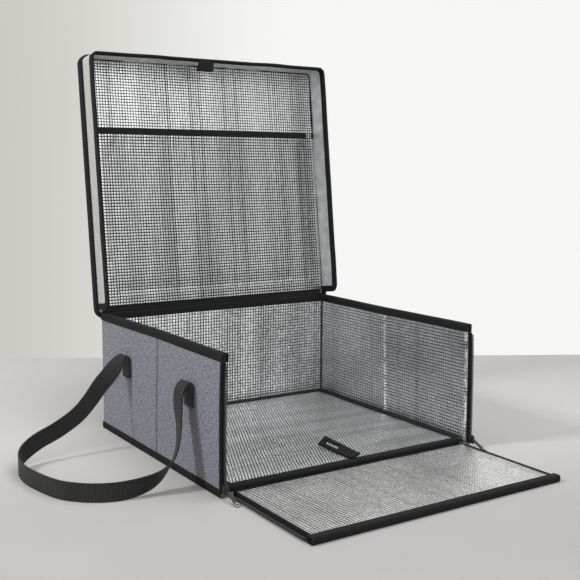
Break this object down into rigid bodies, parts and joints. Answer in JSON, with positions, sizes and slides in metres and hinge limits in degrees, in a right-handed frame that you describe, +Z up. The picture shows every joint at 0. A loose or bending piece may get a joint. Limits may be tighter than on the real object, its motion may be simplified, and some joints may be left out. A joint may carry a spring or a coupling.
{
  "type": "casserole carrier",
  "caption": "Insulated fabric box for a hot dish, with a foil lining, a hinged lid with an inside pocket, a fold-down front flap, a lifting base board and webbing handles.",
  "frame": {"origin": "centre of the underside of the bottom cloth, on the table", "axes": "+Z up, +X to the carrier's right as seen from the front, front flap towards -Y, lid hinge towards +Y"},
  "size_m": [0.8087, 0.6431, 0.5998],
  "materials": {
    "cloth": "grey heather woven polyester",
    "binding": "black woven binding tape, piping and zip tape",
    "foil": "silver foil with an embossed square grid, laminated on foam",
    "board": "hidden stiffening board",
    "webbing": "black ribbed webbing",
    "zip_metal": "dark enamelled die casting"
  },
  "bodies": {
    "box": {"bottom_cloth": "cloth", "bottom_lining": "foil", "left_cloth": "cloth", "left_front_board": "board", "left_rear_board": "board", "left_lining": "foil", "left_top_binding": "binding", "left_foot_binding": "binding", "left_wall_zip": "binding", "right_cloth": "cloth", "right_front_board": "board", "right_rear_board": "board", "right_lining": "foil", "right_top_binding": "binding", "right_foot_binding": "binding", "right_wall_zip": "binding", "back_cloth": "cloth", "back_board": "board", "back_lining": "foil", "back_top_binding": "binding", "back_foot_binding": "binding", "left_handle_rear_end": "webbing", "left_handle_front_end": "webbing", "right_handle_rear_end": "webbing", "right_handle_front_end": "webbing"},
    "lid": {"lid_cloth": "cloth", "lid_board": "board", "lid_lining": "foil", "lid_edge_piping": "binding", "lid_left_skirt": "cloth", "lid_left_rim": "binding", "lid_right_skirt": "cloth", "lid_right_rim": "binding", "lid_front_skirt": "cloth", "lid_front_rim": "binding", "lid_pocket_panel": "foil", "lid_pocket_lower_seam": "foil", "lid_pocket_left_seam": "foil", "lid_pocket_right_seam": "foil", "lid_pocket_binding": "binding", "lid_hinge_tape": "binding"},
    "lid_tab": {"lid_pull_tab": "webbing"},
    "front_flap": {"flap_cloth": "cloth", "flap_board": "board", "flap_lining": "foil", "flap_edge_binding": "binding", "flap_hinge_piping": "binding", "flap_left_zip": "binding", "flap_right_zip": "binding"},
    "base_board": {"base_board_core": "board", "base_board_foil": "foil", "base_board_binding": "binding"},
    "base_loop": {"base_pull_loop": "webbing"},
    "left_handle": {"left_handle_strap": "webbing"},
    "right_handle": {"right_handle_strap": "webbing"},
    "left_slider_body": {"left_slider": "zip_metal"},
    "left_pull_body": {"left_pull": "zip_metal"},
    "right_slider_body": {"right_slider": "zip_metal"},
    "right_pull_body": {"right_pull": "zip_metal"}
  },
  "joints": [
    {"name": "lid_hinge", "type": "hinge", "parent": "box", "child": "lid", "pos_m": [0, 0.198, 0.1895], "axis": [1, 0, 0], "range_deg": [0, 97]},
    {"name": "flap_hinge", "type": "hinge", "parent": "box", "child": "front_flap", "pos_m": [0, -0.2, 0.0049], "axis": [-1, 0, 0], "range_deg": [0, 90]},
    {"name": "base_board_hinge", "type": "hinge", "parent": "box", "child": "base_board", "pos_m": [0, 0.1873, 0.0137], "axis": [1, 0, 0], "range_deg": [-80, 0]},
    {"name": "base_loop_flex", "type": "hinge", "parent": "base_board", "child": "base_loop", "pos_m": [0.005, -0.1783, 0.0127], "axis": [1, 0, 0], "range_deg": [0, 90]},
    {"name": "lid_tab_flex", "type": "hinge", "parent": "lid", "child": "lid_tab", "pos_m": [-0.02, 0.20308, 0.59762], "axis": [-1, 0, 0], "range_deg": [0, 90]},
    {"name": "left_handle_swing", "type": "hinge", "parent": "box", "child": "left_handle", "pos_m": [-0.2186, 0, 0.1355], "axis": [0, 1, 0], "range_deg": [0, 92]},
    {"name": "right_handle_swing", "type": "hinge", "parent": "box", "child": "right_handle", "pos_m": [0.2186, 0, 0.1355], "axis": [0, -1, 0], "range_deg": [0, 92]},
    {"name": "left_slider_slide", "type": "slide", "parent": "box", "child": "left_slider_body", "axis": [0, 0, 1], "range_m": [0, 0.125]},
    {"name": "right_slider_slide", "type": "slide", "parent": "box", "child": "right_slider_body", "axis": [0, 0, 1], "range_m": [0, 0.125]},
    {"name": "left_pull_swing", "type": "hinge", "parent": "left_slider_body", "child": "left_pull_body", "pos_m": [-0.2133, -0.20685, 0.013], "axis": [1, 0, 0], "range_deg": [-100, 60]},
    {"name": "right_pull_swing", "type": "hinge", "parent": "right_slider_body", "child": "right_pull_body", "pos_m": [0.2133, -0.20685, 0.013], "axis": [1, 0, 0], "range_deg": [-100, 60]}
  ]
}
